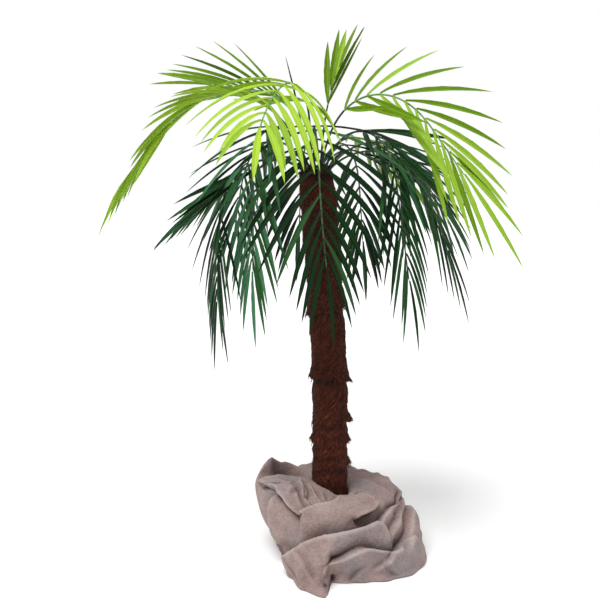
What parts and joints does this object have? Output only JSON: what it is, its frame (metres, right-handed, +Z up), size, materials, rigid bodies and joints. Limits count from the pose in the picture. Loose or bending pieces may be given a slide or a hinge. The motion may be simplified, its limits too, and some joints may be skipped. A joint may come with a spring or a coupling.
{
  "type": "artificial date palm tree",
  "caption": "Artificial date palm with a coir-wrapped trunk, light upper fronds over drooping dark ones, and a gathered cloth hiding its small round foot.",
  "frame": {"origin": "centre of the foot's flat underside, on the floor", "axes": "+Z up; -Y towards the viewer, the side on which the bright front frond and the cloth's long flap lie; +X to the viewer's right"},
  "size_m": [1.3615, 0.9563, 1.7709],
  "materials": {
    "foot": "matt cement",
    "core": "dark brown, matt",
    "coir": "matted coconut fibre",
    "cloth": "coarse plain-weave hessian",
    "light_leaf": "satin plastic leaf, yellow-green",
    "dark_leaf": "satin plastic leaf, dark green"
  },
  "bodies": {
    "root": {"base_cloth": "cloth", "coir_sleeve_1": "coir", "coir_sleeve_2": "coir", "coir_sleeve_3": "coir", "coir_sleeve_4": "coir", "coir_sleeve_5": "coir", "coir_sleeve_6": "coir", "coir_sleeve_7": "coir", "foot": "foot", "frond_dark_back": "dark_leaf", "frond_dark_back_left": "dark_leaf", "frond_dark_back_right": "dark_leaf", "frond_dark_far_left": "dark_leaf", "frond_dark_front": "dark_leaf", "frond_dark_front_left": "dark_leaf", "frond_dark_front_right": "dark_leaf", "frond_dark_left": "dark_leaf", "frond_dark_left_back": "dark_leaf", "frond_dark_near_right": "dark_leaf", "frond_dark_right": "dark_leaf", "frond_dark_right_back": "dark_leaf", "frond_dark_spear": "dark_leaf", "frond_dark_upper_right": "dark_leaf", "frond_light_back": "light_leaf", "frond_light_back_left": "light_leaf", "frond_light_back_right": "light_leaf", "frond_light_front_left": "light_leaf", "frond_light_left": "light_leaf", "frond_light_right": "light_leaf", "stalk_dark_back": "dark_leaf", "stalk_dark_back_left": "dark_leaf", "stalk_dark_back_right": "dark_leaf", "stalk_dark_far_left": "dark_leaf", "stalk_dark_front": "dark_leaf", "stalk_dark_front_left": "dark_leaf", "stalk_dark_front_right": "dark_leaf", "stalk_dark_left": "dark_leaf", "stalk_dark_left_back": "dark_leaf", "stalk_dark_near_right": "dark_leaf", "stalk_dark_right": "dark_leaf", "stalk_dark_right_back": "dark_leaf", "stalk_dark_upper_right": "dark_leaf", "stalk_light_back": "light_leaf", "stalk_light_back_left": "light_leaf", "stalk_light_back_right": "light_leaf", "stalk_light_front_left": "light_leaf", "stalk_light_left": "light_leaf", "stalk_light_right": "light_leaf", "trunk": "core", "trunk_head": "core"}
  },
  "joints": []
}
